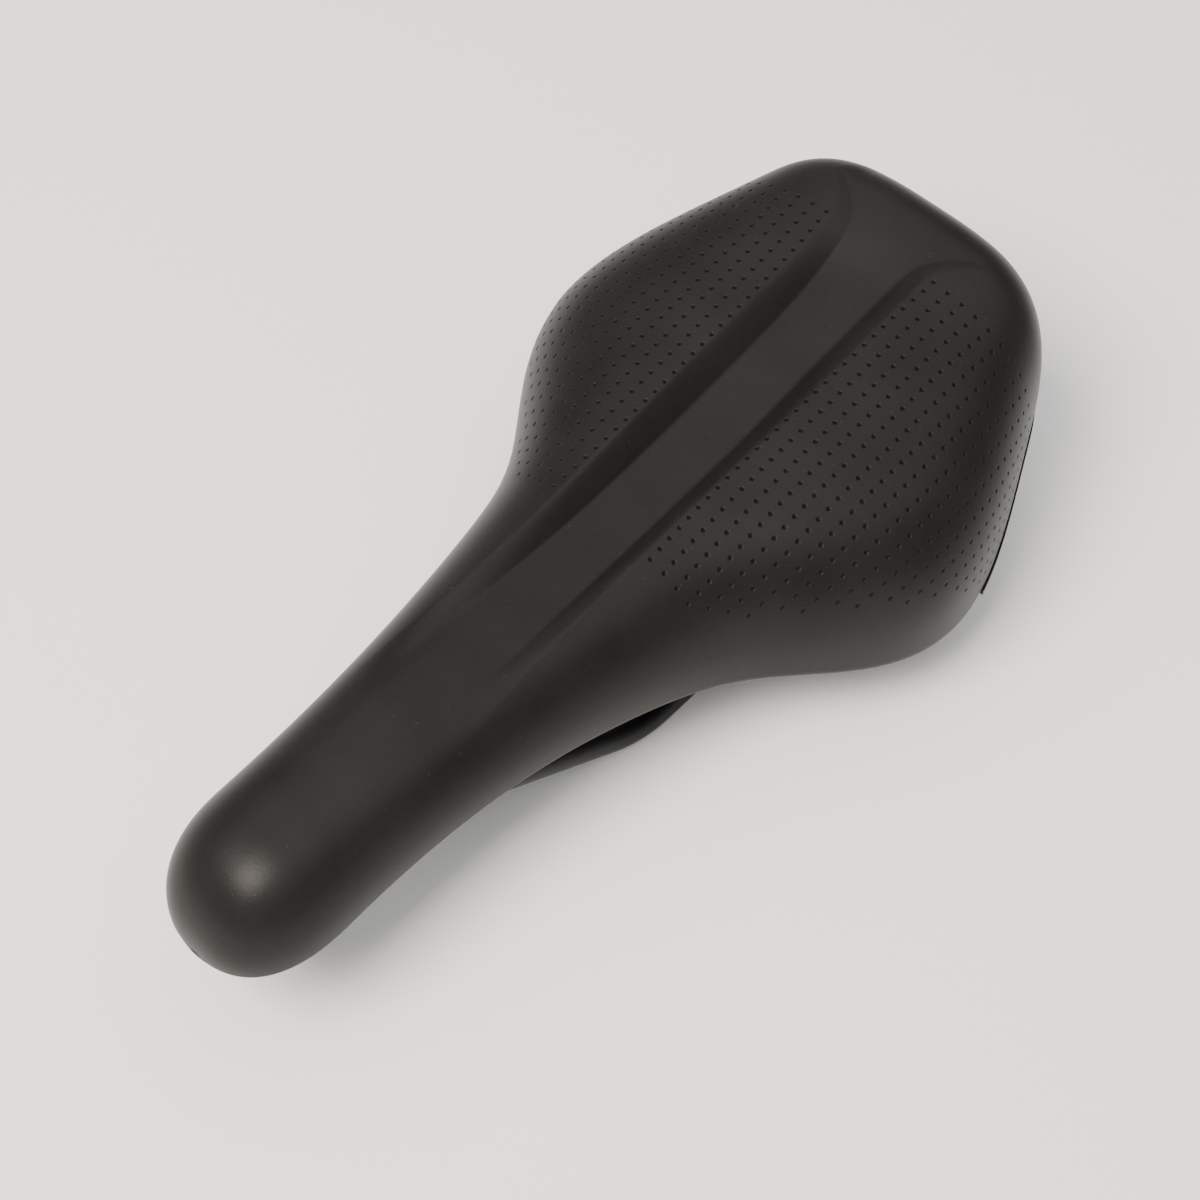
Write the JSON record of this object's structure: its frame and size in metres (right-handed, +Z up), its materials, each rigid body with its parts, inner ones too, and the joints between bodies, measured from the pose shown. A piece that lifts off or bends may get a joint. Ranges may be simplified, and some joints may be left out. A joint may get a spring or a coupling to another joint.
{
  "type": "bicycle saddle",
  "caption": "Padded bicycle saddle with a perforated soft cover, central relief channel, moulded base shell and two round steel rails for a seat post clamp.",
  "frame": {"origin": "midway between the two rails, at the middle of their straight clamping length, at the height of the rail axes", "axes": "+X forward to the nose along the rails, +Y to the rider's left, +Z up"},
  "size_m": [0.275, 0.1396, 0.0835],
  "materials": {
    "cover_skin": "matte black microfibre with punched dots",
    "foam": "moulded polyurethane foam",
    "gel": "soft gel",
    "shell_plastic": "moulded glass-filled nylon",
    "guard_plastic": "smooth black plastic",
    "rail_steel": "satin black coated steel",
    "bracket_plastic": "moulded nylon",
    "screw_steel": "zinc-plated",
    "insert_brass": "plain",
    "bush_rubber": "matte elastomer",
    "staple_steel": "galvanised wire"
  },
  "bodies": {
    "root": {"cover": "cover_skin", "foam_padding": "foam", "gel_pad_left": "gel", "gel_pad_right": "gel", "base_shell": "shell_plastic", "edge_guard_left": "guard_plastic", "edge_guard_right": "guard_plastic", "rail_left": "rail_steel", "rail_right": "rail_steel", "nose_bracket": "bracket_plastic", "nose_bracket_screws": "screw_steel", "nose_threaded_inserts": "insert_brass", "rear_socket_left": "bracket_plastic", "rear_socket_right": "bracket_plastic", "rear_socket_screws": "screw_steel", "rear_threaded_inserts": "insert_brass", "rail_bush_left": "bush_rubber", "rail_bush_right": "bush_rubber", "socket_cap_left": "guard_plastic", "socket_cap_right": "guard_plastic", "cover_staples": "staple_steel"}
  },
  "joints": []
}
